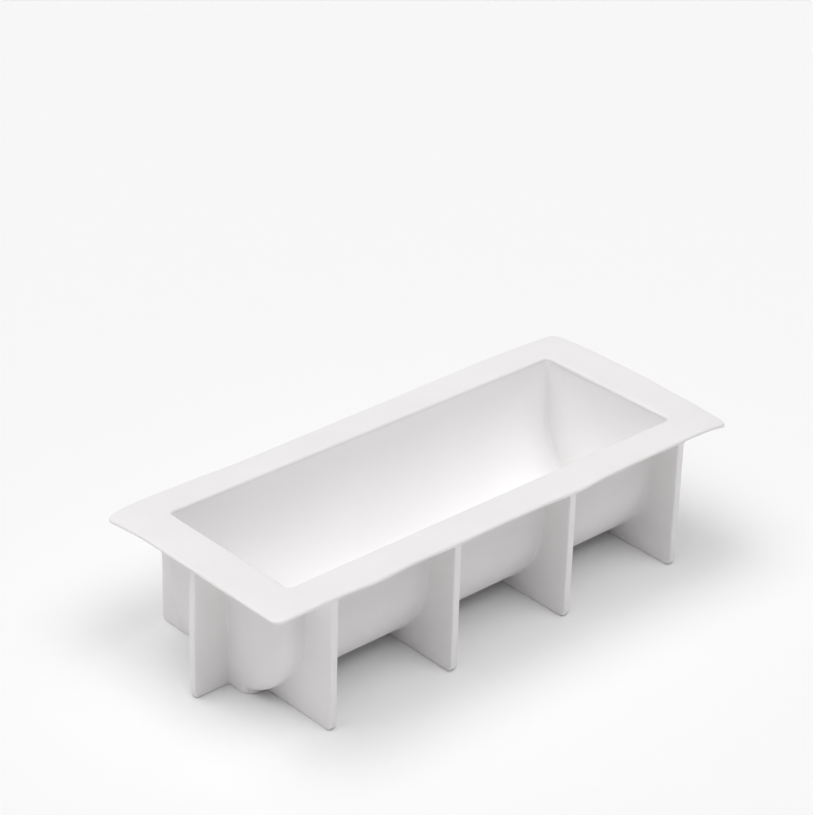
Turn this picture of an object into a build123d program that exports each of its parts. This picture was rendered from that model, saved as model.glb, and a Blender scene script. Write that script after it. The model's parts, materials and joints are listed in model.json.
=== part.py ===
from build123d import *
import math
import os

# A flexible silicone loaf mould for soap: a round-bottomed trough with a flat rim round its mouth,
# a flat strip along its underside and upright fins that carry the rim and keep the trough level.
# The real mould is one casting. Its regions are separate solids here, and they meet face to face.
# X runs along the trough, Y across it and Z up. The origin is on the surface that the mould stands
# on, under the middle of the trough. Lengths are in millimetres and angles in degrees.

# Cavity
cavity_length = 247.0         # between the end walls, level with the rim's top face
cavity_radius = 41.5          # of the round bottom
cavity_depth = 69.8           # from the rim's top face down to the lowest line of the cavity
cavity_edge_radius = 2.5      # where the cavity's walls and bottom turn into its end walls
side_draft = 3.0              # outward lean of the long walls
end_draft = 1.0               # outward lean of the end walls

# Walls
wall_thickness = 3.0
floor_thickness = 2.2         # under the lowest line of the cavity, with the keel strip

# Rim
rim_side_width = 19.6         # from the cavity's edge to the rim's edge, along the long sides
rim_end_width = 24.2          # the same at the two ends
rim_thickness = 2.0
rim_corner_radius = 5.0
lip_radius = 1.5              # rounding of the edge where the rim turns into the cavity

# Keel strip
keel_width = 34.0
keel_thickness = 1.1          # under the flat that the trough has along its lowest line
keel_corner_radius = 7.0

# Fins
fins_per_side = 4
fin_thickness = 4.2
fin_end_inset = 11.0          # from the cavity's end to the middle of the outermost side fin
side_fin_setback = 0.4        # of a side fin's outer edge from the rim's edge
end_fin_setback = 2.4         # of an end fin's outer edge from the rim's edge
fin_foot_radius = 3.0         # of the outer corner at a fin's foot

# Seams between the trough and its end walls
seam_margin = 0.5             # from the seam to the start of the cavity's edge radius

# Worked out from the sizes above
rim_top = floor_thickness + cavity_depth
rim_underside = rim_top - rim_thickness
arc_height = floor_thickness + cavity_radius
outer_radius = cavity_radius + wall_thickness
outer_edge_radius = cavity_edge_radius + wall_thickness
side_slope = math.tan(math.radians(side_draft))
end_slope = math.tan(math.radians(end_draft))


def half_width_at(radius, height):
    """Half the trough's width at a height above the arc, for the inner or the outer radius."""
    return radius / math.cos(math.radians(side_draft)) + (height - arc_height) * side_slope


def half_length_at(rim_half_length, height):
    """Half the trough's length at a height, from its value level with the rim's top face."""
    return rim_half_length - (rim_top - height) * end_slope


def trough_section(radius, top):
    """The section across the trough: an arc and two leaning walls that leave it at a tangent."""
    tangent_y = radius * math.cos(math.radians(side_draft))
    tangent_z = arc_height - radius * math.sin(math.radians(side_draft))
    top_y = half_width_at(radius, top)
    lowest = (0, arc_height - radius)
    arc = ThreePointArc((tangent_y, tangent_z), lowest, (-tangent_y, tangent_z))
    walls = Polyline((-tangent_y, tangent_z), (-top_y, top), (top_y, top), (tangent_y, tangent_z))
    return Plane.YZ * make_face(arc + walls)


def trough_core(radius, rim_half_length, top, edge_radius):
    """The solid that fills the trough's inner or outer surface up to a height."""
    low = arc_height - radius - wall_thickness
    low_x = half_length_at(rim_half_length, low)
    top_x = half_length_at(rim_half_length, top)
    side_view = Polyline((-low_x, low), (low_x, low), (top_x, top), (-top_x, top), close=True)
    wedge = extrude(Plane.XZ * make_face(side_view), amount=2 * radius, both=True)
    core = extrude(trough_section(radius, top), amount=top_x, both=True) & wedge
    end_faces = [face for face in core.faces() if abs(face.normal_at().X) > 0.9]
    end_edges = [edge for face in end_faces for edge in face.edges()]
    below_top = [edge for edge in end_edges if edge.center().Z < top - lip_radius]
    return fillet(below_top, edge_radius)


def block(low, high):
    """A box between its lowest and its highest corner."""
    size = [b - a for a, b in zip(low, high)]
    middle = [(a + b) / 2 for a, b in zip(low, high)]
    return Pos(*middle) * Box(*size)


def fin_plate(plane, reach):
    """A fin before it is cut to its neighbours: an upright plate with a rounded foot corner."""
    outline = Polyline((0, 0), (reach, 0), (reach, rim_underside), (0, rim_underside), close=True)
    face = make_face(outline)
    foot = [corner for corner in face.vertices() if corner.X > reach / 2 and corner.Y < reach / 2]
    face = fillet(foot, fin_foot_radius)
    return extrude(plane * face, amount=fin_thickness / 2, both=True)


def write(solid, node):
    """Writes one node's STEP file."""
    export_step(solid, f"parts/{node}.step")


# Trough and end walls
cavity_half = cavity_length / 2
outer_half = cavity_half + wall_thickness
cavity = trough_core(cavity_radius, cavity_half, rim_top + rim_thickness, cavity_edge_radius)
outside = trough_core(outer_radius, outer_half, rim_underside, outer_edge_radius)
lowest_corner = (-outer_half, -outer_radius, -outer_radius)
outside -= block(lowest_corner, (outer_half, outer_radius, keel_thickness))
tub = outside - cavity

seam_x = half_length_at(cavity_half, floor_thickness) - cavity_edge_radius - seam_margin
middle_span = block((-seam_x, -2 * outer_radius, 0), (seam_x, 2 * outer_radius, rim_top))
cavity_trough = tub & middle_span
end_wall_right = tub & block((seam_x, -2 * outer_radius, 0), (2 * outer_half, 2 * outer_radius, rim_top))
end_wall_left = mirror(end_wall_right, about=Plane.YZ)

# Rim
rim_half_length = cavity_half + rim_end_width
rim_half_width = half_width_at(cavity_radius, rim_top) + rim_side_width
rim_outline = RectangleRounded(2 * rim_half_length, 2 * rim_half_width, rim_corner_radius)
rim_flange = Pos(0, 0, rim_underside) * extrude(rim_outline, amount=rim_thickness) - cavity
top_face = rim_flange.faces().sort_by(Axis.Z)[-1]
rim_flange = fillet(top_face.inner_wires()[0].edges(), lip_radius)

# Keel strip
keel_half_length = half_length_at(outer_half, 0)
keel_outline = RectangleRounded(2 * keel_half_length, keel_width, keel_corner_radius)
keel_edge_height = arc_height - math.sqrt(outer_radius**2 - (keel_width / 2) ** 2)
keel_strip = extrude(keel_outline, amount=keel_edge_height) - outside

# Side fins
side_fin_reach = rim_half_width - side_fin_setback
outermost_x = cavity_half - fin_end_inset
fin_pitch = 2 * outermost_x / (fins_per_side - 1)
side_fins = {}
for number in range(fins_per_side):
    x = number * fin_pitch - outermost_x
    rear_plane = Plane(origin=(x, 0, 0), x_dir=(0, 1, 0), z_dir=(1, 0, 0))
    rear_fin = fin_plate(rear_plane, side_fin_reach) - outside - keel_strip
    side_fins[f"side_fin_rear_{number + 1}"] = rear_fin
    side_fins[f"side_fin_front_{number + 1}"] = mirror(rear_fin, about=Plane.XZ)

# End fins
end_fin_reach = rim_half_length - end_fin_setback
end_plane = Plane(origin=(0, 0, 0), x_dir=(1, 0, 0), z_dir=(0, -1, 0))
end_fin_right = fin_plate(end_plane, end_fin_reach) - outside - keel_strip
end_fin_left = mirror(end_fin_right, about=Plane.YZ)

os.makedirs("parts", exist_ok=True)
write(cavity_trough, "cavity_trough")
write(end_wall_left, "end_wall_left")
write(end_wall_right, "end_wall_right")
write(rim_flange, "rim_flange")
write(keel_strip, "keel_strip")
write(end_fin_left, "end_fin_left")
write(end_fin_right, "end_fin_right")
for node, fin in side_fins.items():
    write(fin, node)
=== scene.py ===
import json
import logging
import math
from collections.abc import Callable
from dataclasses import dataclass, field
from enum import Enum

import bmesh
import bpy
from mathutils import Matrix, Vector

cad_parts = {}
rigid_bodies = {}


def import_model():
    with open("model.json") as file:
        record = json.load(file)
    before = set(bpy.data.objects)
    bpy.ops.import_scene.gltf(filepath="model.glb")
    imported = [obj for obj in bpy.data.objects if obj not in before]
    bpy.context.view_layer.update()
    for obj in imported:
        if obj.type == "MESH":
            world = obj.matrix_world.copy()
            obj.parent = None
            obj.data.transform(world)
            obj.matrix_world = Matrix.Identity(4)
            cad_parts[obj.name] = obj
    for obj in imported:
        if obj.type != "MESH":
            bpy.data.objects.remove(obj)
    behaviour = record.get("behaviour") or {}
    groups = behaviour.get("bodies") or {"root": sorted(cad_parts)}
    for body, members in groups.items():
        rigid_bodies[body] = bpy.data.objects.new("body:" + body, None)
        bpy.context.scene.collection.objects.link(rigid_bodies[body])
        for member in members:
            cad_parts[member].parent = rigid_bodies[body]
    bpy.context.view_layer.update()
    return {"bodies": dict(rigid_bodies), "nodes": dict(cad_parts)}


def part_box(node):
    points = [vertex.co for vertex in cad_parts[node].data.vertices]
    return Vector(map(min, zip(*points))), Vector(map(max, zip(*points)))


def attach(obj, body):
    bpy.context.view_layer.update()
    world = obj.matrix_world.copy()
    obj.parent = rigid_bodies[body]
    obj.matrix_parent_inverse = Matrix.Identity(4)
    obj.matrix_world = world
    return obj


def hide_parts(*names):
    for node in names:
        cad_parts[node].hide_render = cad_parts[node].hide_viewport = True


# A white silicone loaf mould for soap, seen standing on its feet in a plain studio.
# The mould is one casting, and each region of it is a piece of its own here: the trough, two end
# walls, the rim, the keel strip under the trough and the fins. Neighbours share their edges or run
# into each other at a tangent, so that the casting reads as one skin with no joints.
# Shapes are worked out in millimetres in the frame's own axes: X along the trough, Z up.

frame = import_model()

LOG = logging.getLogger("soap_mould")
MM = 0.001
BODY = next(iter(frame["bodies"]))

Point = tuple[float, float, float]
Pair = tuple[float, float]
# Points of a section: the distance from the middle plane, the height and the outward normal's parts.
Outline = list[tuple[float, float, float, float]]

# How finely each part of a surface is divided
WALL_STEPS = 8      # up a straight wall
ARC_STEPS = 30      # along the round bottom, from a wall to the middle
CORNER_STEPS = 6    # round an upright corner, and over the lip
ROUND_STEPS = 4     # over a small rounded edge
ROOT_STEPS = 6      # over a fillet
FACE_STEPS = 8      # across a flat face
LENGTH_STEPS = 60   # along the mould
CROSS_STEPS = 20    # across the mould, along the rim's ends

# How the meshes are put together, in millimetres unless said otherwise
SINK = 0.6          # how deep a fin's root and the keel strip's top are sunk into their neighbours
LIFT = 0.06         # how far the buried foot of a fin stays above the floor
ROW_GAP = 0.35      # share of the inset that keeps a fin's lowest rows of points apart
WELD_MM = 0.002     # points nearer than this are made one
SHARP_ANGLE = math.radians(42.0)    # edges that turn by more than this stay sharp
ROUND_END = 0.995   # share of an edge radius at which its quarter round stops, short of upright
FLAT = 1e-9         # a normal's sideways part below this counts as none


def box_mm(node: str) -> tuple[Vector, Vector]:
    """A frame node's lowest and highest corners.

    Args:
        node: the node's name.

    Returns:
        The two corners in millimetres.
    """
    low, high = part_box(node)
    return low / MM, high / MM


def smooth_step(share: float) -> float:
    """A share from 0 to 1 eased at both ends, held at 0 and 1 outside them."""
    share = min(max(share, 0.0), 1.0)
    return share * share * (3.0 - 2.0 * share)


def spread(start: float, end: float, steps: int) -> list[float]:
    """Evenly spaced values.

    Args:
        start: the first value.
        end: the last value.
        steps: the number of spaces between them.

    Returns:
        steps + 1 values.
    """
    return [start + (end - start) * i / steps for i in range(steps + 1)]


def quarter_round(radius: float, steps: int) -> list[Pair]:
    """A quarter circle between two faces at right angles.

    Args:
        radius: the rounding's radius.
        steps: the number of flats that it is drawn with.

    Returns:
        Pairs of the distance in from the first face and the height still missing from the second.
    """
    angles = spread(0.0, math.pi / 2, steps)
    return [(radius * (1 - math.cos(a)), radius * (1 - math.sin(a))) for a in angles]


class Surface(Enum):
    """How the steel tool's face was finished, which the silicone copies."""

    BLASTED = "blasted"
    POLISHED = "polished"


@dataclass(frozen=True)
class MouldSizes:
    """Sizes that the pieces share, in millimetres and radians."""

    cavity_radius: float = 41.5
    floor_thickness: float = 2.2
    wall: float = 3.0
    side_draft: float = math.radians(3.0)
    end_draft: float = math.radians(1.0)
    cavity_edge_radius: float = 2.5
    rim_corner_radius: float = 5.0
    lip_radius: float = 1.5
    keel_corner_radius: float = 7.0
    fin_foot_radius: float = 3.0
    root_radius: float = 1.0
    fin_edge_radius: float = 0.75
    rim_edge_radius: float = 0.98
    keel_edge_radius: float = 0.8
    rim_top: float = field(default_factory=lambda: box_mm("rim_flange")[1].z)
    rim_underside: float = field(default_factory=lambda: box_mm("rim_flange")[0].z)
    rim_half_length: float = field(default_factory=lambda: box_mm("rim_flange")[1].x)
    rim_half_width: float = field(default_factory=lambda: box_mm("rim_flange")[1].y)
    seam_x: float = field(default_factory=lambda: box_mm("cavity_trough")[1].x)
    top_half_length: float = field(default_factory=lambda: box_mm("end_wall_right")[1].x)
    keel_half_width: float = field(default_factory=lambda: box_mm("keel_strip")[1].y)

    @property
    def arc_height(self) -> float:
        """The height of the round bottom's centre line."""
        return self.floor_thickness + self.cavity_radius

    def skin(self, outer: bool) -> "Skin":
        """The trough's inner or outer surface.

        Args:
            outer: whether it is the outer one.

        Returns:
            The surface.
        """
        reach = self.top_half_length + (self.rim_top - self.rim_underside) * math.tan(self.end_draft)
        thickness = self.wall if outer else 0.0
        inset = 0.0 if outer else self.wall
        return Skin(
            radius=self.cavity_radius + thickness,
            half_length=reach - inset,
            edge_radius=self.cavity_edge_radius + thickness,
            sizes=self,
        )


@dataclass(frozen=True)
class Skin:
    """One surface of the trough: a round bottom, two leaning long walls and two end walls."""

    radius: float
    half_length: float
    edge_radius: float
    sizes: MouldSizes

    def width_at(self, z: float) -> float:
        """Half the width between the long walls at a height above the round bottom."""
        lean = self.sizes.side_draft
        return self.radius / math.cos(lean) + (z - self.sizes.arc_height) * math.tan(lean)

    def length_at(self, z: float) -> float:
        """Half the length between the end walls at a height."""
        return self.half_length - (self.sizes.rim_top - z) * math.tan(self.sizes.end_draft)

    def underside_at(self, x: float, y: float) -> float:
        """The surface's lowest height over a point of the floor, with the end walls' rounding.

        Args:
            x: the point's place along the mould.
            y: its place across it.

        Returns:
            The height.
        """
        past = abs(x) - (self.length_at(0.0) - self.edge_radius)
        past = min(max(past, 0.0), self.edge_radius * ROUND_END)
        inset = self.edge_radius - math.sqrt(self.edge_radius**2 - past**2)
        return self.sizes.arc_height - math.sqrt((self.radius - inset) ** 2 - y**2)

    def arc_point(self, angle: float, offset: float = 0.0) -> Pair:
        """A point of the round bottom, or one outside it.

        Args:
            angle: from straight down, in radians.
            offset: the distance outwards from the surface.

        Returns:
            The point's distance from the middle plane and its height.
        """
        radius = self.radius + offset
        return radius * math.sin(angle), self.sizes.arc_height - radius * math.cos(angle)

    def half_outline(self, top: float, heights: list[float]) -> Outline:
        """Half of the section, from the top of a long wall down to the middle of the bottom.

        Args:
            top: the height at which it starts.
            heights: further heights near the top, going down.

        Returns:
            For each point its distance from the middle plane and height, and its outward normal.
        """
        lean = self.sizes.side_draft
        tangent_z = self.arc_point(math.pi / 2 - lean)[1]
        wall = [top, *heights, *spread(heights[-1] if heights else top, tangent_z, WALL_STEPS)[1:-1]]
        points = [(self.width_at(z), z, math.cos(lean), -math.sin(lean)) for z in wall]
        for angle in spread(math.pi / 2 - lean, 0.0, ARC_STEPS):
            points.append((*self.arc_point(angle), math.sin(angle), -math.cos(angle)))
        return points


class Shell:
    """A piece's vertices and faces, gathered in millimetres and turned into an object."""

    def __init__(self) -> None:
        """Starts with nothing in it."""
        self.points: list[Point] = []
        self.faces: list[tuple[int, ...]] = []
        self.surfaces: list[Surface] = []

    def grid(self, rows: list[list[Point]]) -> list[list[int]]:
        """Adds rows of points.

        Args:
            rows: the points, in rows of equal length.

        Returns:
            The points' indices in the same rows.
        """
        indices = []
        for row in rows:
            start = len(self.points)
            self.points.extend(row)
            indices.append(list(range(start, start + len(row))))
        return indices

    def bridge(self, a: list[int], b: list[int], surface: Surface, closed: bool = False) -> None:
        """Adds faces between two lines of the same number of points.

        Args:
            a: the first line's indices.
            b: the second line's indices.
            surface: the faces' finish.
            closed: whether the lines are loops.
        """
        count = len(a) if closed else len(a) - 1
        for i in range(count):
            j = (i + 1) % len(a)
            self.faces.append((a[i], a[j], b[j], b[i]))
            self.surfaces.append(surface)

    def skin(self, rows: list[list[int]], surface: Surface, closed: bool = False) -> None:
        """Adds the faces of a whole grid, row to row."""
        for a, b in zip(rows, rows[1:]):
            self.bridge(a, b, surface, closed)

    def build(self, name: str, settle: Callable[[Point], Point]) -> bpy.types.Object:
        """Turns what was gathered into a closed, smooth object.

        Args:
            name: the object's name.
            settle: moves each point to where the soft casting rests.

        Returns:
            The object, linked into the scene.
        """
        mesh = bpy.data.meshes.new(name)
        placed = [[value * MM for value in settle(point)] for point in self.points]
        mesh.from_pydata(placed, [], self.faces)
        kinds = list(Surface)
        mesh.polygons.foreach_set("material_index", [kinds.index(s) for s in self.surfaces])
        work = bmesh.new()
        work.from_mesh(mesh)
        bmesh.ops.remove_doubles(work, verts=work.verts, dist=WELD_MM * MM)
        bmesh.ops.dissolve_degenerate(work, edges=work.edges, dist=WELD_MM * MM)
        bmesh.ops.recalc_face_normals(work, faces=work.faces)
        for face in work.faces:
            face.smooth = True
        for edge in work.edges:
            edge.smooth = edge.calc_face_angle(math.pi) < SHARP_ANGLE
        work.to_mesh(mesh)
        work.free()
        made = bpy.data.objects.new(name, mesh)
        bpy.context.scene.collection.objects.link(made)
        return made


@dataclass(frozen=True)
class Settling:
    """How the flexible rim hangs: its outer edge droops a little between and beyond the fins.

    Each list pairs a place along one edge of the rim with how far the edge hangs there, and the last
    two with how far an end is drawn in towards the middle. The casting is stiff below free_below.
    """

    front: tuple[Pair, ...] = (
        (-146, 0.0), (-110, 0.0), (-86, 1.3), (-66, 0.2), (-37, 0.6), (-12, 0.3), (16, 0.6),
        (43, 1.6), (62, 0.3), (80, 0.0), (115, 0.0), (146, 0.5),
    )
    rear: tuple[Pair, ...] = (
        (-146, 1.2), (-125, 0.9), (-95, 1.3), (-65, 2.1), (-25, 1.6), (20, 1.1), (55, 0.6),
        (90, 0.1), (146, 1.1),
    )
    left: tuple[Pair, ...] = ((-61, 0.0), (30, 0.0), (61, 2.1))
    right: tuple[Pair, ...] = ((-61, 2.0), (-30, 0.9), (0, 0.1), (30, 0.1), (61, 0.8))
    left_drawn_in: tuple[Pair, ...] = ((-61, 1.0), (61, 1.0))
    right_drawn_in: tuple[Pair, ...] = ((-61, 1.3), (-28, 0.5), (0, 0.0), (30, 0.1), (61, 0.5))
    free_below: float = 20.0

    @staticmethod
    def along(places: tuple[Pair, ...], at: float) -> float:
        """A listed distance at a place along an edge, eased from one listed place to the next.

        Args:
            places: pairs of a place along the edge and the distance there, in order of place.
            at: the place.

        Returns:
            The distance.
        """
        if at <= places[0][0]:
            return places[0][1]
        for (start, a), (end, b) in zip(places, places[1:]):
            if at <= end:
                return a + (b - a) * smooth_step((at - start) / (end - start))
        return places[-1][1]

    def moved(self, point: Point, sizes: MouldSizes) -> Point:
        """Where a point of the casting rests.

        Args:
            point: its place in the undeformed casting.
            sizes: the mould's sizes.

        Returns:
            Its place with the rim's droop, and with the rim's ends drawn in a little.
        """
        x, y, z = point
        skin = sizes.skin(outer=True)
        start_y = skin.width_at(sizes.rim_underside) + sizes.root_radius
        start_x = skin.length_at(sizes.rim_underside) + sizes.root_radius
        over_y = min(max((abs(y) - start_y) / (sizes.rim_half_width - start_y), 0.0), 1.0)
        over_x = min(max((abs(x) - start_x) / (sizes.rim_half_length - start_x), 0.0), 1.0)
        side = self.along(self.front if y < 0 else self.rear, x) * over_y**2
        end = self.along(self.left if x < 0 else self.right, y) * over_x**2
        held = smooth_step((z - self.free_below) / (sizes.rim_underside - self.free_below))
        drawn_in = self.along(self.left_drawn_in if x < 0 else self.right_drawn_in, y) * over_x**2
        return x - math.copysign(drawn_in * held, x), y, z - (side + end) * held


@dataclass
class Piece:
    """A region of the casting, which stands for one node of the frame."""

    sizes: MouldSizes
    node: str

    def shell(self) -> Shell:
        """The piece's closed shell."""
        raise NotImplementedError

    def build(self, settling: Settling) -> bpy.types.Object:
        """Makes the piece's object, settled as the soft casting rests.

        Args:
            settling: how the casting rests.

        Returns:
            The object.
        """
        return self.shell().build(f"{self.node}_skin", lambda point: settling.moved(point, self.sizes))

    def dress(self, piece: bpy.types.Object, materials: dict[Surface, bpy.types.Material]) -> None:
        """Gives the piece its finishes and its body, and hides the node that it stands for.

        Args:
            piece: the piece's object.
            materials: the material of each surface.
        """
        for surface in Surface:
            piece.data.materials.append(materials[surface])
        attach(piece, BODY)
        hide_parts(self.node)


@dataclass
class Trough(Piece):
    """The two long walls and the round bottom between the end walls' seams.

    The outer surface stops at the height tuck, inside the keel strip.
    """

    node: str = "cavity_trough"
    tuck: float = 0.5

    def root_heights(self) -> list[float]:
        """Heights that follow the fillet under the rim, going down."""
        rounding = quarter_round(self.sizes.root_radius, ROOT_STEPS)
        return [self.sizes.rim_underside - depth for depth, _ in rounding[1:]]

    def swell(self, z: float) -> float:
        """How far the fillet under the rim stands out from the outer wall.

        Args:
            z: the height.

        Returns:
            The distance.
        """
        radius = self.sizes.root_radius
        short = max(radius - (self.sizes.rim_underside - z), 0.0)
        return radius - math.sqrt(max(radius**2 - short**2, 0.0))

    def section(self, outer: bool) -> Outline:
        """The whole inner or outer section, from the rear wall's top round to the front wall's.

        Args:
            outer: whether it is the outer one.

        Returns:
            For each point y and z, and the outward normal's y and z.
        """
        skin = self.sizes.skin(outer)
        half = skin.half_outline(self.sizes.rim_underside, self.root_heights())
        mirrored = [(-y, z, -ny, nz) for y, z, ny, nz in reversed(half[:-1])]
        return half + mirrored

    def shell(self) -> Shell:
        """The trough: its inner and outer surface, joined along the seams and the wall's top.

        Returns:
            The closed shell.
        """
        shell = Shell()
        rings = {}
        for outer in (True, False):
            rows = []
            for x in spread(-self.sizes.seam_x, self.sizes.seam_x, LENGTH_STEPS):
                row = []
                for y, z, ny, _ in self.section(outer):
                    out = self.swell(z) if outer else 0.0
                    low = self.tuck if outer else 0.0
                    row.append((x, y + math.copysign(out, ny) if out else y, max(z, low)))
                rows.append(row)
            rings[outer] = shell.grid(rows)
            shell.skin(rings[outer], Surface.BLASTED if outer else Surface.POLISHED)
        for end in (0, -1):
            shell.bridge(rings[True][end], rings[False][end], Surface.BLASTED)
            outer_top = [ring[end] for ring in rings[True]]
            inner_top = [ring[end] for ring in rings[False]]
            shell.bridge(outer_top, inner_top, Surface.BLASTED)
        return shell


@dataclass
class EndWall(Trough):
    """One end wall, with the rounded corners that turn it into the long walls and the bottom."""

    side: int = 1

    def __post_init__(self) -> None:
        """Names the wall's node from its side."""
        self.node = "end_wall_right" if self.side > 0 else "end_wall_left"

    def profile(self, place: tuple[float, float, float, float], outer: bool) -> list[Point]:
        """One line of the wall, from the seam round the corner and across the face to its middle.

        Args:
            place: a point of the section, with its normal.
            outer: whether it is on the outer surface.

        Returns:
            The line's points.
        """
        y, z, ny, nz = place
        skin = self.sizes.skin(outer)
        out = self.swell(z) if outer else 0.0
        low = self.tuck if outer else 0.0
        toward = math.copysign(1.0, ny) if abs(ny) > FLAT else 0.0
        line = [(self.sizes.seam_x, y + out * toward, max(z, low))]
        for angle in spread(0.0, math.pi / 2, CORNER_STEPS):
            inset = skin.edge_radius * (1 - math.cos(angle))
            short = skin.edge_radius * (1 - math.sin(angle))
            at_y, at_z = y - ny * inset, max(z - nz * inset, low)
            at_x = skin.length_at(at_z) - short + out * math.sin(angle)
            line.append((at_x, at_y + out * math.cos(angle) * toward, at_z))
        ring_y, ring_z = y - ny * skin.edge_radius, max(z - nz * skin.edge_radius, low)
        middle_z = max(ring_z, self.sizes.arc_height)
        for share in spread(0.0, 1.0, FACE_STEPS)[1:]:
            at_z = ring_z + (middle_z - ring_z) * share
            line.append((skin.length_at(at_z) + out, ring_y * (1 - share), at_z))
        return [(self.side * x, at_y, at_z) for x, at_y, at_z in line]

    def shell(self) -> Shell:
        """The end wall: its inner and outer surface, joined along the seam and the wall's top.

        Returns:
            The closed shell.
        """
        shell = Shell()
        grids = {}
        for outer in (True, False):
            grids[outer] = shell.grid([self.profile(place, outer) for place in self.section(outer)])
            shell.skin(grids[outer], Surface.BLASTED if outer else Surface.POLISHED)
        seam = {outer: [row[0] for row in rows] for outer, rows in grids.items()}
        shell.bridge(seam[True], seam[False], Surface.BLASTED)
        for end in (0, -1):
            shell.bridge(grids[True][end], grids[False][end], Surface.BLASTED)
        return shell


def rounded_loop(half_x: float, half_y: float, radius: float, z: float) -> list[Point]:
    """A rectangle with rounded corners, with as many points whatever its size.

    Args:
        half_x: half its length.
        half_y: half its width.
        radius: its corners' radius.
        z: its height.

    Returns:
        The loop's points, anticlockwise from above.
    """
    loop: list[Point] = []
    corners = [(1, 1), (-1, 1), (-1, -1), (1, -1)]
    for index, (sign_x, sign_y) in enumerate(corners):
        centre_x, centre_y = sign_x * (half_x - radius), sign_y * (half_y - radius)
        start = index * math.pi / 2
        for angle in spread(start, start + math.pi / 2, CORNER_STEPS):
            loop.append((centre_x + radius * math.cos(angle), centre_y + radius * math.sin(angle), z))
        next_x, next_y = corners[(index + 1) % 4]
        last = loop[-1]
        if next_y == sign_y:
            target = (next_x * (half_x - radius), last[1])
        else:
            target = (last[0], next_y * (half_y - radius))
        steps = LENGTH_STEPS if next_y == sign_y else CROSS_STEPS
        for share in spread(0.0, 1.0, steps)[1:-1]:
            at_x = last[0] + (target[0] - last[0]) * share
            loop.append((at_x, last[1] + (target[1] - last[1]) * share, z))
    return loop


def blend_loops(a: list[Point], b: list[Point], steps: int) -> list[list[Point]]:
    """Loops between two loops, without those two.

    Args:
        a: the first loop.
        b: the last loop, with as many points.
        steps: the number of spaces between them.

    Returns:
        steps - 1 loops.
    """
    between = []
    for share in spread(0.0, 1.0, steps)[1:-1]:
        between.append([tuple(p + (q - p) * share for p, q in zip(u, v)) for u, v in zip(a, b)])
    return between


@dataclass
class Rim(Piece):
    """The flat rim round the mouth, with the lip rounded over into the cavity."""

    node: str = "rim_flange"

    def mouth(self, z: float, out: float) -> list[Point]:
        """A loop round the mouth, on the cavity's walls or over the lip above them.

        Args:
            z: its height.
            out: how far it is outside the cavity's walls.

        Returns:
            The loop's points.
        """
        skin = self.sizes.skin(outer=False)
        level = min(z, self.sizes.rim_top - self.sizes.lip_radius)
        half_x, half_y = skin.length_at(level) + out, skin.width_at(level) + out
        return rounded_loop(half_x, half_y, skin.edge_radius + out, z)

    def edge(self, z: float, inset: float) -> list[Point]:
        """A loop round the rim's outer edge, at a height and drawn in by an inset."""
        half_x, half_y = self.sizes.rim_half_length - inset, self.sizes.rim_half_width - inset
        return rounded_loop(half_x, half_y, self.sizes.rim_corner_radius - inset, z)

    def shell(self) -> Shell:
        """The rim, made of loops that follow its section round.

        Returns:
            The closed shell.
        """
        s = self.sizes
        over = quarter_round(s.lip_radius, CORNER_STEPS)
        lip = [self.mouth(s.rim_top - short, out) for out, short in over]
        side = quarter_round(s.rim_edge_radius, ROUND_STEPS)
        upper = [self.edge(s.rim_top - short, inset) for short, inset in side]
        lower = [self.edge(s.rim_underside + short, inset) for short, inset in reversed(side)]
        start = self.mouth(s.rim_underside, 0.0)
        loops = [start, *lip, *blend_loops(lip[-1], upper[0], FACE_STEPS), *upper, *lower]
        loops += blend_loops(lower[-1], start, FACE_STEPS)
        shell = Shell()
        rows = shell.grid(loops)
        shell.skin(rows[:2], Surface.POLISHED, closed=True)
        shell.skin(rows[1:], Surface.BLASTED, closed=True)
        shell.bridge(rows[-1], rows[0], Surface.BLASTED, closed=True)
        return shell


@dataclass
class Keel(Piece):
    """The flat strip along the trough's underside, on which the mould stands.

    Inside the trough it ends in a flat lid at inner_height, drawn in by lid_inset.
    """

    node: str = "keel_strip"
    inner_height: float = 1.2
    lid_inset: float = 2.0

    def loop(self, z: float, inset: float) -> list[Point]:
        """The strip's outline.

        Args:
            z: its height.
            inset: how far it is drawn in.

        Returns:
            The loop's points.
        """
        s = self.sizes
        length = s.skin(outer=True).length_at(0.0)
        return rounded_loop(length - inset, s.keel_half_width - inset, s.keel_corner_radius - inset, z)

    def toward_middle(self, loop: list[Point], z: float, steps: int) -> list[list[Point]]:
        """Loops that close a face, from an outline to a line along its middle.

        Args:
            loop: the outline.
            z: the height of the line.
            steps: the number of spaces between the two.

        Returns:
            The loops after the outline, the line among them.
        """
        end = self.sizes.skin(outer=True).length_at(0.0) - self.sizes.keel_half_width
        middle = [(min(max(x, -end), end), 0.0, z) for x, _, _ in loop]
        return [*blend_loops(loop, middle, steps), middle]

    def shell(self) -> Shell:
        """The keel strip, with its upper side sunk into the trough.

        Returns:
            The closed shell.
        """
        s = self.sizes
        outer = s.skin(outer=True)
        edge = quarter_round(s.keel_edge_radius, ROUND_STEPS)
        rounding = [self.loop(short, inset) for inset, short in edge]
        under = rounding[-1]
        buried = [(x, y, outer.underside_at(x, y) + SINK) for x, y, _ in rounding[0]]
        lid = [(x, y, self.inner_height) for x, y, _ in self.loop(0.0, self.lid_inset)]
        loops = [*reversed(self.toward_middle(under, 0.0, ROUND_STEPS)), *reversed(rounding), buried, lid]
        loops += self.toward_middle(lid, self.inner_height, ROUND_STEPS)
        shell = Shell()
        shell.skin(shell.grid(loops), Surface.BLASTED, closed=True)
        return shell


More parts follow.
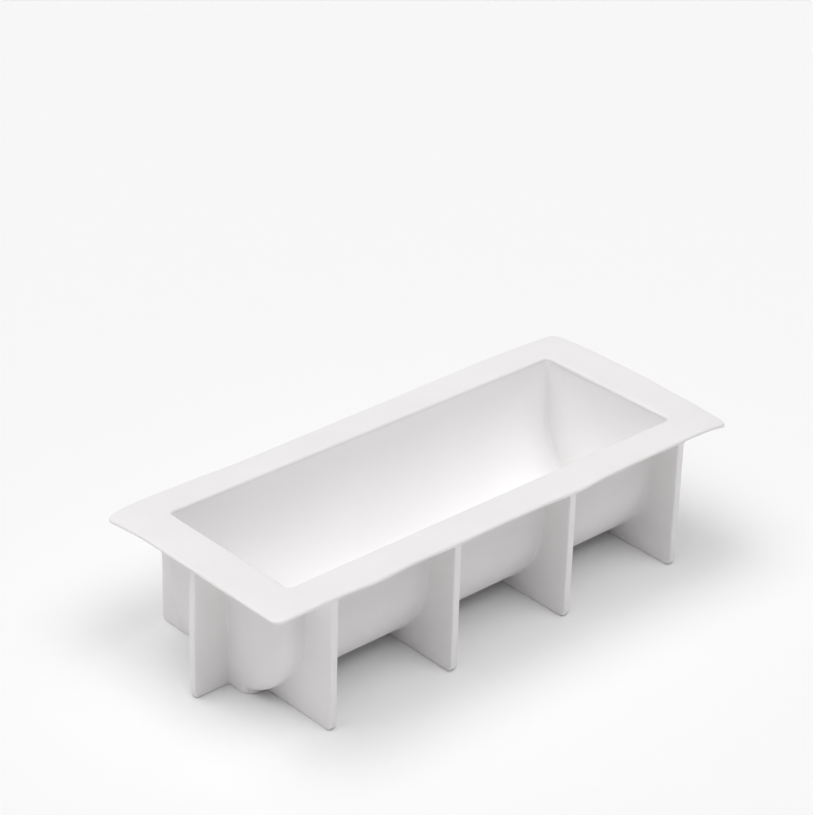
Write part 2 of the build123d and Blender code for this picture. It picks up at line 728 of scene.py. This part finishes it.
@dataclass
class Fin(Piece):
    """An upright fin that grows out of the trough with a fillet and carries the rim.

    Its outline is described in its own plane, by the distance from the mould's middle and height.
    """

    thickness: float
    reach: float
    side: float

    def place(self, a: float, out: float, z: float) -> Point:
        """A point of the fin in the frame, from its place in the plane and its distance out of it."""
        raise NotImplementedError

    def root_line(self, offset: float) -> list[Pair]:
        """The line where the fin meets its neighbours, at an offset outwards, from the foot up."""
        raise NotImplementedError

    def top_heights(self) -> list[float]:
        """Heights that follow the fillet under the rim, going up."""
        rounding = quarter_round(self.sizes.root_radius, ROOT_STEPS)
        return [self.sizes.rim_underside - depth for depth, _ in reversed(rounding)]

    def foot_heights(self) -> list[float]:
        """Heights that follow the rounded edge along the foot, going up."""
        return [inset for inset, _ in quarter_round(self.sizes.fin_edge_radius, ROUND_STEPS)]

    def edge_distance(self, a: float, z: float) -> float:
        """The distance of a point from the fin's free edge, round its foot corner.

        Args:
            a: distance from the mould's middle.
            z: height.

        Returns:
            The distance, or 0 outside the edge.
        """
        radius = self.sizes.fin_foot_radius
        past, below = a - (self.reach - radius), radius - z
        if past > 0.0 and below > 0.0:
            return max(radius - math.hypot(past, below), 0.0)
        return max(min(z, self.reach - a), 0.0)

    def edge_place(self, inset: float, z: float) -> float:
        """How far out a line lies that runs inside the free edge.

        Args:
            inset: its distance from the edge.
            z: height.

        Returns:
            Its distance from the mould's middle.
        """
        radius = self.sizes.fin_foot_radius
        if z >= radius:
            return self.reach - inset
        squared = (radius - inset) ** 2 - (radius - z) ** 2
        if squared > 0.0:
            return self.reach - radius + math.sqrt(squared)
        return self.reach - radius - ROW_GAP * (inset - z)

    def half_thickness(self, a: float, z: float, from_root: float) -> float:
        """Half the fin's thickness, with its root fillets and its rounded free edge.

        Args:
            a: distance from the mould's middle.
            z: height.
            from_root: distance from the trough and the keel strip.

        Returns:
            Half the thickness there.
        """
        root, edge = self.sizes.root_radius, self.sizes.fin_edge_radius
        near = math.hypot(max(root - from_root, 0.0), max(root - (self.sizes.rim_underside - z), 0.0))
        flare = root - math.sqrt(max(root**2 - min(near, root) ** 2, 0.0))
        short = max(edge - self.edge_distance(a, z), 0.0)
        cut = edge - math.sqrt(max(edge**2 - short**2, 0.0))
        return self.thickness / 2 + flare - cut

    def shell(self) -> Shell:
        """The fin: two faces, a rounded free edge, and a root sunk in its neighbours.

        Returns:
            The closed shell.
        """
        rounding = quarter_round(self.sizes.root_radius, ROOT_STEPS)
        offsets = [-SINK, *[depth for depth, _ in rounding]]
        lines = [self.root_line(offset) for offset in offsets]
        edge = quarter_round(self.sizes.fin_edge_radius, ROUND_STEPS)
        insets = [inset for inset, _ in reversed(edge)]
        faces: dict[int, list[list[Point]]] = {1: [], -1: []}
        for row in range(len(lines[0])):
            places = [(*line[row], max(offset, 0.0)) for line, offset in zip(lines, offsets)]
            start_a, z, start = places[-1]
            first = self.edge_place(insets[0], z)
            for share in spread(0.0, 1.0, FACE_STEPS)[1:-1]:
                places.append((start_a + (first - start_a) * share, z, start + (first - start_a) * share))
            places += [(self.edge_place(inset, z), z, self.reach) for inset in insets]
            for sign, rows in faces.items():
                line_points = []
                for a, at_z, from_root in places:
                    line_points.append(self.place(a, sign * self.half_thickness(a, at_z, from_root), at_z))
                rows.append(line_points)
        shell = Shell()
        left, right = shell.grid(faces[1]), shell.grid(faces[-1])
        for rows in (left, right):
            shell.skin(rows, Surface.BLASTED)
        for end in (0, -1):
            shell.bridge(left[end], right[end], Surface.BLASTED)
            shell.bridge([row[end] for row in left], [row[end] for row in right], Surface.BLASTED)
        return shell


@dataclass
class SideFin(Fin):
    """A fin on one of the long sides, shaped to the trough's round bottom and the keel strip."""

    middle: float

    def place(self, a: float, out: float, z: float) -> Point:
        """A point of the fin in the frame, from its place in the plane and its distance out of it."""
        return self.middle + out, self.side * a, z

    def root_line(self, offset: float) -> list[Pair]:
        """The line along the keel strip's side, the round bottom and the long wall.

        Args:
            offset: how far outside them it runs.

        Returns:
            The line's points, from the foot up.
        """
        s = self.sizes
        skin = s.skin(outer=True)
        keel_y = s.keel_half_width + offset
        start = math.asin(keel_y / (skin.radius + offset))
        end = math.pi / 2 - s.side_draft
        foot_y = keel_y - (s.keel_edge_radius if offset < 0.0 else 0.0)
        line = [(foot_y, z + (LIFT if offset < 0.0 else 0.0)) for z in self.foot_heights()]
        line += [skin.arc_point(angle, offset) for angle in spread(start, end, ARC_STEPS)]
        outward = offset / math.cos(s.side_draft)
        top = self.top_heights()
        for z in [*spread(line[-1][1], top[0], WALL_STEPS)[1:-1], *top]:
            line.append((skin.width_at(z) + outward, z))
        line.append((skin.width_at(top[-1]) + outward, top[-1] + SINK))
        return line


@dataclass
class EndFin(Fin):
    """The fin in the middle of an end wall."""

    def place(self, a: float, out: float, z: float) -> Point:
        """A point of the fin in the frame, from its place in the plane and its distance out of it."""
        return self.side * a, out, z

    def root_line(self, offset: float) -> list[Pair]:
        """The line up the keel strip's end and the end wall.

        Args:
            offset: how far outside them it runs.

        Returns:
            The line's points, from the foot up.
        """
        skin = self.sizes.skin(outer=True)
        foot_x = skin.length_at(0.0) + offset - (self.sizes.keel_edge_radius if offset < 0.0 else 0.0)
        feet = self.foot_heights()
        line = [(foot_x, z + (LIFT if offset < 0.0 else 0.0)) for z in feet]
        top = self.top_heights()
        heights = [*spread(feet[-1], top[0], ARC_STEPS)[1:-1], *top]
        line += [(skin.length_at(z) + offset, z) for z in heights]
        line.append((skin.length_at(top[-1]) + offset, top[-1] + SINK))
        return line


def make_fins(sizes: MouldSizes) -> list[Fin]:
    """Every fin, each at its own node's place in the frame.

    Args:
        sizes: the mould's sizes.

    Returns:
        The fins.
    """
    fins: list[Fin] = []
    for node in sorted(frame["nodes"]):
        low, high = box_mm(node)
        middle = (low + high) / 2
        if node.startswith("side_fin"):
            side, reach = math.copysign(1.0, middle.y), max(abs(low.y), abs(high.y))
            fins.append(SideFin(sizes, node, high.x - low.x, reach, side, middle.x))
        elif node.startswith("end_fin"):
            side, reach = math.copysign(1.0, middle.x), max(abs(low.x), abs(high.x))
            fins.append(EndFin(sizes, node, high.y - low.y, reach, side))
    return fins


def linear(hex_colour: str) -> tuple[float, float, float, float]:
    """An sRGB colour as linear light.

    Args:
        hex_colour: six hex digits, with or without a leading #.

    Returns:
        Red, green, blue and an alpha of 1.
    """
    digits = hex_colour.lstrip("#")
    values = [int(digits[i : i + 2], 16) / 255 for i in (0, 2, 4)]
    light = [v / 12.92 if v <= 0.04045 else ((v + 0.055) / 1.055) ** 2.4 for v in values]
    return light[0], light[1], light[2], 1.0


def add_node(tree: bpy.types.NodeTree, kind: str, inputs: dict[str, object] | None = None,
             **settings: object) -> bpy.types.Node:
    """Adds a node, sets it up and links it.

    Args:
        tree: the node tree.
        kind: the node's type.
        inputs: for each input's name, a value or the socket that feeds it.
        settings: the node's own properties.

    Returns:
        The node.
    """
    node = tree.nodes.new(kind)
    for name, value in settings.items():
        setattr(node, name, value)
    for name, value in (inputs or {}).items():
        if isinstance(value, bpy.types.NodeSocket):
            tree.links.new(value, node.inputs[name])
        else:
            node.inputs[name].default_value = value
    return node


@dataclass(frozen=True)
class CastSilicone:
    """Platinum-cured silicone rubber, compression moulded in a steel tool.

    The pigment is opaque white, so the eye gets a soft, even body with a faint waxy bloom at grazing
    angles. The tool's own face decides how matt the skin is. As the rubber cures and relaxes, its
    flat faces turn very slightly wavy, which breaks up the shading on the rim and the fins.
    """

    name: str
    body: str
    cloud: str
    roughness: Pair
    grain_depth_mm: float
    # The tool's grain is about 0.05 mm across. It is drawn coarser here, or it wouldn't show.
    grain_mm: float = 0.55
    cloud_mm: float = 38.0
    wave_mm: float = 24.0
    wave_depth_mm: float = 0.3
    grain_detail: float = 2.0
    cloud_detail: float = 3.0
    wave_detail: float = 1.0
    noise_roughness: float = 0.55
    grain_range: Pair = (0.3, 0.7)
    cloud_range: Pair = (0.35, 0.65)
    ior: float = 1.41
    bloom: float = 0.12
    bloom_roughness: float = 0.5

    def noise(self, tree: bpy.types.NodeTree, place: bpy.types.NodeSocket, size_mm: float,
              detail: float) -> bpy.types.NodeSocket:
        """A noise pattern of a real size.

        Args:
            tree: the material's nodes.
            place: the place on the casting, in metres.
            size_mm: the pattern's size in millimetres.
            detail: how many finer layers it has.

        Returns:
            The pattern's value.
        """
        pattern = add_node(tree, "ShaderNodeTexNoise", {
            "Vector": place, "Scale": 1.0 / (size_mm * MM), "Detail": detail,
            "Roughness": self.noise_roughness,
        }, noise_dimensions="3D")
        return pattern.outputs["Fac"]

    def material(self) -> bpy.types.Material:
        """Makes the finish.

        Returns:
            The material.
        """
        made = bpy.data.materials.new(self.name)
        made.use_nodes = True
        tree = made.node_tree
        tree.nodes.clear()
        place = add_node(tree, "ShaderNodeTexCoord").outputs["Object"]
        grain = self.noise(tree, place, self.grain_mm, self.grain_detail)
        clouds = self.noise(tree, place, self.cloud_mm, self.cloud_detail)
        colour = add_node(tree, "ShaderNodeValToRGB", {"Fac": clouds})
        for stop, tone, at in zip(colour.color_ramp.elements, (self.body, self.cloud), self.cloud_range):
            stop.color, stop.position = linear(tone), at
        matt = add_node(tree, "ShaderNodeMapRange", {
            "Value": grain, "From Min": self.grain_range[0], "From Max": self.grain_range[1],
            "To Min": self.roughness[0], "To Max": self.roughness[1],
        }, clamp=True)
        waves = add_node(tree, "ShaderNodeBump", {
            "Height": self.noise(tree, place, self.wave_mm, self.wave_detail),
            "Distance": self.wave_depth_mm * MM,
        })
        bump = add_node(tree, "ShaderNodeBump", {
            "Height": grain, "Distance": self.grain_depth_mm * MM, "Normal": waves.outputs["Normal"],
        })
        shader = add_node(tree, "ShaderNodeBsdfPrincipled", {
            "Base Color": colour.outputs["Color"], "Roughness": matt.outputs["Result"],
            "Normal": bump.outputs["Normal"], "IOR": self.ior, "Sheen Weight": self.bloom,
            "Sheen Roughness": self.bloom_roughness,
        })
        add_node(tree, "ShaderNodeOutputMaterial", {"Surface": shader.outputs["BSDF"]})
        return made


FINISHES = {
    # The tool's outside is blasted, so the rim, the fins and the outer walls are matt.
    Surface.BLASTED: CastSilicone(
        "silicone_cast_on_blasted_steel", "#EFEDED", "#ECEAEA", (0.48, 0.64), grain_depth_mm=0.09
    ),
    # The tool's core is polished, so the cavity is smoother and has a soft gloss. Its colour is also
    # painted a little lighter than the outside's: painted light, standing in for the light that the thin
    # walls let through into it.
    Surface.POLISHED: CastSilicone(
        "polished_silicone_painted_lighter", "#FCFBFB", "#FAF9F9", (0.32, 0.44), grain_depth_mm=0.02
    ),
}


@dataclass(frozen=True)
class Softbox:
    """A large, far softbox.

    It is given by the direction that it shines from: azimuth from the front towards the right-hand
    end, and elevation.
    """

    name: str
    azimuth: float
    elevation: float
    strength: float
    spread: float = math.radians(40.0)

    def direction(self) -> Vector:
        """The direction from the mould to the softbox.

        Returns:
            A vector of length 1.
        """
        turn, rise = math.radians(self.azimuth), math.radians(self.elevation)
        level = math.cos(rise)
        return Vector((math.sin(turn) * level, -math.cos(turn) * level, math.sin(rise)))


SOFTBOXES = (
    Softbox("high_front", 0.0, 65.0, 0.88),
    Softbox("high_front_right", 45.0, 65.0, 0.46),
    Softbox("high_rear", 180.0, 65.0, 0.55),
    Softbox("high_rear_left", -135.0, 65.0, 0.94),
    Softbox("high_left", -90.0, 55.0, 0.34),
    Softbox("low_left", -90.0, 38.0, 0.06),
)


@dataclass
class Studio:
    """A plain pale floor, soft light and the camera.

    Lengths are in metres here, the lens and its sensor in millimetres. The camera looks at aim from
    the left-hand front. azimuth is how far it looks towards the right-hand end, elevation how steeply
    it looks down, and roll how far it leans.
    """

    azimuth: float = math.radians(42.736)
    elevation: float = math.radians(28.368)
    roll: float = math.radians(1.528)
    distance: float = 1.4727
    aim: tuple[float, float, float] = (0.0756, 0.0981, 0.036)
    lens: float = 123.35
    sensor: float = 36.0
    floor_half: float = 400.0
    floor_colour: str = "#F3F3F3"
    floor_roughness: float = 0.9
    floor_specular: float = 0.1
    wall_top: float = math.radians(5.5)
    wall_end: float = math.radians(7.0)
    wall_light: float = 0.9
    ceiling_light: float = 0.12

    def camera(self) -> None:
        """Adds the camera and makes it the scene's."""
        data = bpy.data.cameras.new("camera")
        data.lens, data.sensor_width = self.lens, self.sensor
        level = math.cos(self.elevation)
        ahead, across = math.cos(self.azimuth) * level, math.sin(self.azimuth) * level
        forward = Vector((across, ahead, -math.sin(self.elevation)))
        right = forward.cross(Vector((0, 0, 1))).normalized()
        up = right.cross(forward)
        tilt = Matrix.Rotation(-self.roll, 3, forward)
        right, up = tilt @ right, tilt @ up
        turn = Matrix((right, up, -forward)).transposed().to_4x4()
        made = bpy.data.objects.new("camera", data)
        made.matrix_world = Matrix.Translation(Vector(self.aim) - forward * self.distance) @ turn
        bpy.context.scene.collection.objects.link(made)
        bpy.context.scene.camera = made

    def floor(self) -> None:
        """Adds the floor."""
        mesh = bpy.data.meshes.new("floor")
        h = self.floor_half
        mesh.from_pydata([(-h, -h, 0), (h, -h, 0), (h, h, 0), (-h, h, 0)], [], [(0, 1, 2, 3)])
        made = bpy.data.objects.new("floor", mesh)
        paint = bpy.data.materials.new("floor_matt_paint")
        paint.use_nodes = True
        shader = paint.node_tree.nodes["Principled BSDF"]
        shader.inputs["Base Color"].default_value = linear(self.floor_colour)
        shader.inputs["Roughness"].default_value = self.floor_roughness
        shader.inputs["Specular IOR Level"].default_value = self.floor_specular
        mesh.materials.append(paint)
        bpy.context.scene.collection.objects.link(made)

    def surroundings(self) -> None:
        """Adds the room's light: dim from above and pale near the horizon, like distant pale walls."""
        world = bpy.data.worlds.new("studio")
        world.use_nodes = True
        tree = world.node_tree
        direction = add_node(tree, "ShaderNodeTexCoord").outputs["Generated"]
        height = add_node(tree, "ShaderNodeSeparateXYZ", {"Vector": direction}).outputs["Z"]
        strength = add_node(tree, "ShaderNodeMapRange", {
            "Value": height, "From Min": math.sin(self.wall_top), "From Max": math.sin(self.wall_end),
            "To Min": self.wall_light, "To Max": self.ceiling_light,
        }, clamp=True)
        background = tree.nodes["Background"]
        background.inputs["Color"].default_value = linear("#FFFFFF")
        tree.links.new(strength.outputs["Result"], background.inputs["Strength"])
        bpy.context.scene.world = world

    def lights(self) -> None:
        """Adds the softboxes."""
        for box in SOFTBOXES:
            data = bpy.data.lights.new(box.name, "SUN")
            data.energy, data.angle = box.strength, box.spread
            made = bpy.data.objects.new(box.name, data)
            made.rotation_euler = (-box.direction()).to_track_quat("-Z", "Y").to_euler()
            bpy.context.scene.collection.objects.link(made)


def main() -> None:
    """Builds the mould piece by piece, then the studio."""
    logging.basicConfig(level=logging.INFO, format="%(name)s: %(message)s")
    bpy.context.scene.view_settings.view_transform = "Standard"
    sizes = MouldSizes()
    settling = Settling()
    materials = {surface: finish.material() for surface, finish in FINISHES.items()}
    pieces = [Trough(sizes), EndWall(sizes, side=-1), EndWall(sizes, side=1), Rim(sizes), Keel(sizes)]
    for part in [*pieces, *make_fins(sizes)]:
        made = part.build(settling)
        part.dress(made, materials)
        LOG.info("%s: %d faces", made.name, len(made.data.polygons))
    studio = Studio()
    studio.camera()
    studio.floor()
    studio.surroundings()
    studio.lights()


if __name__ == "__main__":
    main()
